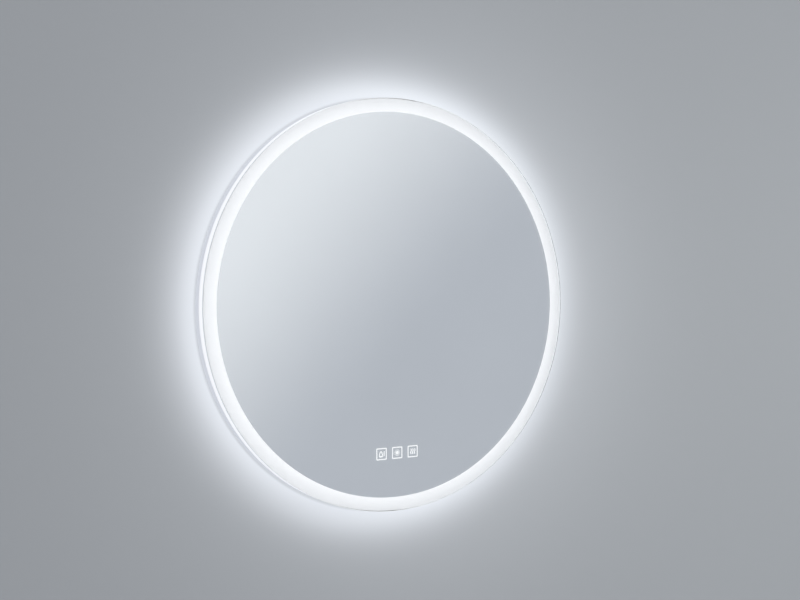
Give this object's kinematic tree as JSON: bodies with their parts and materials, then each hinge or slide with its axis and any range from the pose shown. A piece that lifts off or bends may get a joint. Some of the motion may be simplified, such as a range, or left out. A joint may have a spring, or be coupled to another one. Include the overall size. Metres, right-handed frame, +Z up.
{
  "type": "lighted bathroom mirror",
  "caption": "Round frameless wall mirror with a frosted light band, a lit opal edge, a rear light that makes a halo on the wall, touch keys and a demister film, hung on a wall rail.",
  "frame": {"origin": "on the wall plane, midway between the two fixing slots of the wall rail", "axes": "+X to the right of someone looking into the mirror, +Y into the wall, +Z up"},
  "size_m": [0.6, 0.035, 0.6],
  "materials": {
    "float_glass": "polished",
    "silver": "mirror",
    "foam_tape": "foam",
    "heating_film": "film",
    "opal_acrylic": "opal",
    "anodised_aluminium": "satin anodised",
    "galvanised_steel": "galvanised",
    "zinc_screws": "zinc plated",
    "aluminium_rivets": "plain",
    "circuit_strip": "solder mask",
    "led": "lit",
    "black_rubber": "moulded",
    "black_foam": "foam",
    "circuit_board": "solder mask",
    "white_nylon": "moulded",
    "grey_plastic": "moulded",
    "brass_parts": "plain",
    "lead_sheath": "extruded",
    "earth_sheath": "extruded"
  },
  "bodies": {
    "wall_rail": {"wall_rail": "galvanised_steel"},
    "mirror": {"back_pan": "galvanised_steel", "bonding_tape": "foam_tape", "box_screws": "zinc_screws", "bumpers": "black_rubber", "cable_grommet": "black_rubber", "chassis_ring": "anodised_aluminium", "clamp_screws": "zinc_screws", "cord_clamp": "white_nylon", "demister_lead": "lead_sheath", "demister_pad": "heating_film", "driver_case": "grey_plastic", "driver_lid": "grey_plastic", "driver_screws": "zinc_screws", "earth_lead": "earth_sheath", "earth_nut": "zinc_screws", "earth_stud": "brass_parts", "earth_tag": "brass_parts", "front_lead": "lead_sheath", "front_leds": "led", "front_strip": "circuit_strip", "hanger_bracket": "galvanised_steel", "hanger_rivets": "aluminium_rivets", "lead_clips": "white_nylon", "mains_lead": "lead_sheath", "mirror_glass": "float_glass", "opal_diffuser_ring": "opal_acrylic", "pan_screws": "zinc_screws", "rear_lead": "lead_sheath", "rear_leds": "led", "rear_strip": "circuit_strip", "rear_window_ring": "opal_acrylic", "ring_splice": "galvanised_steel", "silver_coating": "silver", "splice_screws": "zinc_screws", "terminal_block": "white_nylon", "terminal_box": "white_nylon", "terminal_cover": "white_nylon", "terminal_screws": "brass_parts", "touch_board": "circuit_board", "touch_lead": "lead_sheath", "touch_leds": "led", "touch_light_frame": "black_foam", "touch_plug": "white_nylon"}
  },
  "joints": [
    {"name": "lift_off", "type": "slide", "parent": "wall_rail", "child": "mirror", "axis": [0, 0, 1], "range_m": [0, 0.014]}
  ]
}
